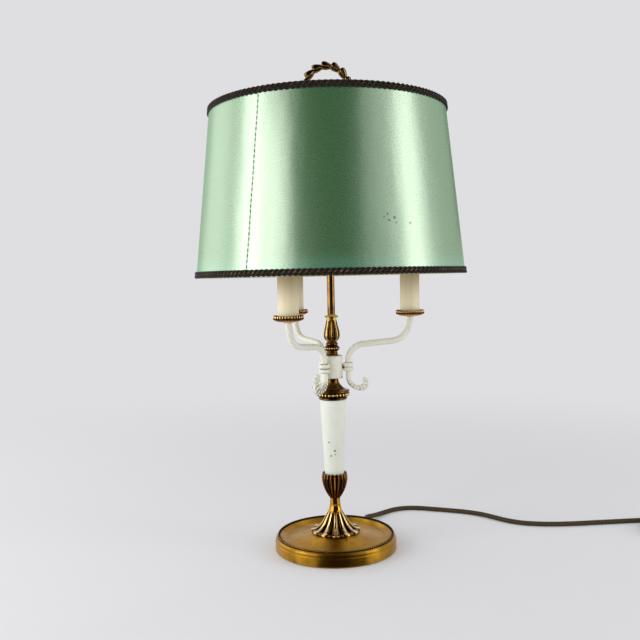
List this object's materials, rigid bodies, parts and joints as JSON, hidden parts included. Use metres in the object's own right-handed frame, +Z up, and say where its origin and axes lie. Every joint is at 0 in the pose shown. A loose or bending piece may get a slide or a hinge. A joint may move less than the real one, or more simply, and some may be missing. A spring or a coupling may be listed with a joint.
{
  "type": "bouillotte table lamp",
  "caption": "Table lamp with a dished brass base, white column, curved candle arms under a sliding drum shade, and a ring handle; plugged cord with in-line switch.",
  "frame": {"origin": "centre of the base, on the surface that the lamp stands on", "axes": "+Z up the centre rod, +X along the right arm, +Y towards the back, where the cord leaves"},
  "size_m": [0.7107, 0.3492, 0.6343],
  "materials": {
    "felt": "dark green felt",
    "iron": "rough cast",
    "satin_brass": "satin turned brass with age spots",
    "aged_brass": "polished cast brass, dark brown in the recesses",
    "cream": "cream-white lacquer, rubbed grey in the recesses, a few chips",
    "card": "coated card candle sleeve",
    "holder": "moulded lamp holder",
    "cap_metal": "drawn bulb cap",
    "glass": "frosted bulb glass",
    "steel": "zinc plated",
    "wire": "brass plated frame wire",
    "shade_satin": "green satin on card, pale inside",
    "braid": "dark brown and gold braid",
    "cord": "olive brown covered flex",
    "moulding": "dark brown moulded plastic",
    "lead": "inner lead"
  },
  "bodies": {
    "stand": {"base_felt": "felt", "base_weight": "iron", "base_dish": "satin_brass", "base_beads": "aged_brass", "tube_nuts": "satin_brass", "tube_washers": "steel", "cord_grip": "moulding", "foot_calyx": "aged_brass", "stem_neck": "aged_brass", "tulip_cup": "aged_brass", "column": "cream", "beaded_collar": "aged_brass", "hub": "cream", "arm_right": "cream", "arm_back_left": "cream", "arm_front_left": "cream", "arm_nipples": "steel", "drip_pan_right": "aged_brass", "drip_pan_back_left": "aged_brass", "drip_pan_front_left": "aged_brass", "candle_sleeve_right": "card", "candle_sleeve_back_left": "card", "candle_sleeve_front_left": "card", "lamp_holder_right": "holder", "lamp_holder_back_left": "holder", "lamp_holder_front_left": "holder", "bulb_cap_right": "cap_metal", "bulb_cap_back_left": "cap_metal", "bulb_cap_front_left": "cap_metal", "bulb_glass_right": "glass", "bulb_glass_back_left": "glass", "bulb_glass_front_left": "glass", "bead_knop": "aged_brass", "leaf_baluster": "aged_brass", "rod": "satin_brass", "tie_tube": "steel", "inner_lead": "lead", "handle_ferrule": "aged_brass", "ring_handle": "aged_brass", "cord_run": "cord", "cord_coil": "cord", "coil_tie": "moulding", "cord_tail": "cord", "switch_lower": "moulding", "switch_upper": "moulding", "switch_screws": "steel", "plug_body": "moulding", "plug_pins": "steel"},
    "slider": {"slider_collar": "satin_brass"},
    "key": {"shade_key": "satin_brass"},
    "shade": {"spider_hub": "wire", "shade_frame": "wire", "shade_bottom_ring": "wire", "shade_cover": "shade_satin", "braid_top": "braid", "braid_bottom": "braid"},
    "rocker": {"switch_rocker": "moulding"}
  },
  "joints": [
    {"name": "shade_slide", "type": "slide", "parent": "stand", "child": "slider", "axis": [0, 0, 1], "range_m": [-0.07, 0]},
    {"name": "shade_turn", "type": "hinge", "parent": "slider", "child": "shade", "pos_m": [0, 0, 0.5433], "axis": [0, 0, 1], "continuous": true},
    {"name": "key_turn", "type": "hinge", "parent": "slider", "child": "key", "pos_m": [0, 0, 0.5323], "axis": [1, 0, 0], "range_deg": [0, 180]},
    {"name": "rocker_tilt", "type": "hinge", "parent": "stand", "child": "rocker", "pos_m": [0.5185, -0.038, 0.012], "axis": [1, 0, 0], "range_deg": [0, 16]}
  ]
}
